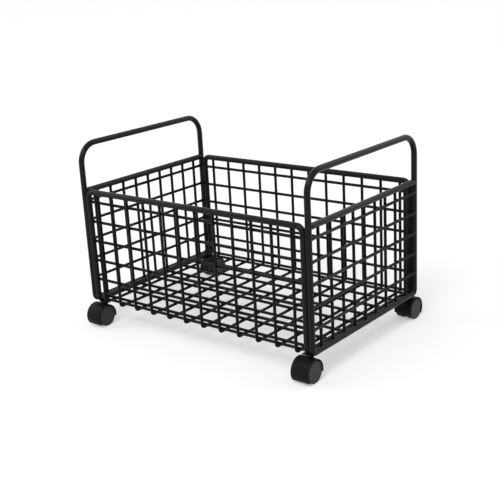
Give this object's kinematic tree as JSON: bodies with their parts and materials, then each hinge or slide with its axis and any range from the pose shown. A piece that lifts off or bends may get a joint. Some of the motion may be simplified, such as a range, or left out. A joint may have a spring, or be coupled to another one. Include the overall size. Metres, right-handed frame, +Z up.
{
  "type": "rolling wire basket",
  "caption": "Open black wire-mesh storage basket with a bent-rod loop handle at each end, standing on swivelling twin-wheel casters.",
  "frame": {"origin": "on the floor, under the middle of the basket", "axes": "+X along the length from the left to the right handle, +Y from front to rear, +Z up"},
  "size_m": [0.38, 0.2758, 0.26],
  "materials": {
    "coated_rod": "satin black powder coat",
    "coated_wire": "satin black powder coat",
    "corner_plate": "satin black powder coat on sheet steel",
    "plated_steel": "black zinc plate",
    "hood_plastic": "matte black moulding",
    "wheel_plastic": "matte black nylon"
  },
  "bodies": {
    "basket": {"left_end_frame": "coated_rod", "left_end_rim_bar": "coated_rod", "left_end_upright_wires": "coated_wire", "left_end_level_wires": "coated_wire", "right_end_frame": "coated_rod", "right_end_rim_bar": "coated_rod", "right_end_upright_wires": "coated_wire", "right_end_level_wires": "coated_wire", "basket_edge_rod": "coated_rod", "cross_wires": "coated_wire", "front_level_wires": "coated_wire", "rear_level_wires": "coated_wire", "floor_level_wires": "coated_wire", "front_left_corner_plate": "corner_plate", "front_left_caster_stem": "plated_steel", "front_right_corner_plate": "corner_plate", "front_right_caster_stem": "plated_steel", "rear_left_corner_plate": "corner_plate", "rear_left_caster_stem": "plated_steel", "rear_right_corner_plate": "corner_plate", "rear_right_caster_stem": "plated_steel"},
    "front_left_caster": {"front_left_caster_hood": "hood_plastic", "front_left_caster_axle": "plated_steel"},
    "front_left_left_wheel": {"front_left_caster_left_wheel": "wheel_plastic"},
    "front_left_right_wheel": {"front_left_caster_right_wheel": "wheel_plastic"},
    "front_right_caster": {"front_right_caster_hood": "hood_plastic", "front_right_caster_axle": "plated_steel"},
    "front_right_left_wheel": {"front_right_caster_left_wheel": "wheel_plastic"},
    "front_right_right_wheel": {"front_right_caster_right_wheel": "wheel_plastic"},
    "rear_left_caster": {"rear_left_caster_hood": "hood_plastic", "rear_left_caster_axle": "plated_steel"},
    "rear_left_left_wheel": {"rear_left_caster_left_wheel": "wheel_plastic"},
    "rear_left_right_wheel": {"rear_left_caster_right_wheel": "wheel_plastic"},
    "rear_right_caster": {"rear_right_caster_hood": "hood_plastic", "rear_right_caster_axle": "plated_steel"},
    "rear_right_left_wheel": {"rear_right_caster_left_wheel": "wheel_plastic"},
    "rear_right_right_wheel": {"rear_right_caster_right_wheel": "wheel_plastic"}
  },
  "joints": [
    {"name": "front_left_swivel", "type": "hinge", "parent": "basket", "child": "front_left_caster", "pos_m": [-0.17725, -0.11425, 0], "axis": [0, 0, 1], "continuous": true},
    {"name": "front_left_left_wheel_roll", "type": "hinge", "parent": "front_left_caster", "child": "front_left_left_wheel", "pos_m": [-0.17725, -0.12125, 0.0142], "axis": [1, 0, 0], "continuous": true},
    {"name": "front_left_right_wheel_roll", "type": "hinge", "parent": "front_left_caster", "child": "front_left_right_wheel", "pos_m": [-0.17725, -0.12125, 0.0142], "axis": [1, 0, 0], "continuous": true},
    {"name": "front_right_swivel", "type": "hinge", "parent": "basket", "child": "front_right_caster", "pos_m": [0.17725, -0.11425, 0], "axis": [0, 0, 1], "continuous": true},
    {"name": "front_right_left_wheel_roll", "type": "hinge", "parent": "front_right_caster", "child": "front_right_left_wheel", "pos_m": [0.17725, -0.12125, 0.0142], "axis": [1, 0, 0], "continuous": true},
    {"name": "front_right_right_wheel_roll", "type": "hinge", "parent": "front_right_caster", "child": "front_right_right_wheel", "pos_m": [0.17725, -0.12125, 0.0142], "axis": [1, 0, 0], "continuous": true},
    {"name": "rear_left_swivel", "type": "hinge", "parent": "basket", "child": "rear_left_caster", "pos_m": [-0.17725, 0.11425, 0], "axis": [0, 0, 1], "continuous": true},
    {"name": "rear_left_left_wheel_roll", "type": "hinge", "parent": "rear_left_caster", "child": "rear_left_left_wheel", "pos_m": [-0.17725, 0.12125, 0.0142], "axis": [1, 0, 0], "continuous": true},
    {"name": "rear_left_right_wheel_roll", "type": "hinge", "parent": "rear_left_caster", "child": "rear_left_right_wheel", "pos_m": [-0.17725, 0.12125, 0.0142], "axis": [1, 0, 0], "continuous": true},
    {"name": "rear_right_swivel", "type": "hinge", "parent": "basket", "child": "rear_right_caster", "pos_m": [0.17725, 0.11425, 0], "axis": [0, 0, 1], "continuous": true},
    {"name": "rear_right_left_wheel_roll", "type": "hinge", "parent": "rear_right_caster", "child": "rear_right_left_wheel", "pos_m": [0.17725, 0.12125, 0.0142], "axis": [1, 0, 0], "continuous": true},
    {"name": "rear_right_right_wheel_roll", "type": "hinge", "parent": "rear_right_caster", "child": "rear_right_right_wheel", "pos_m": [0.17725, 0.12125, 0.0142], "axis": [1, 0, 0], "continuous": true}
  ]
}
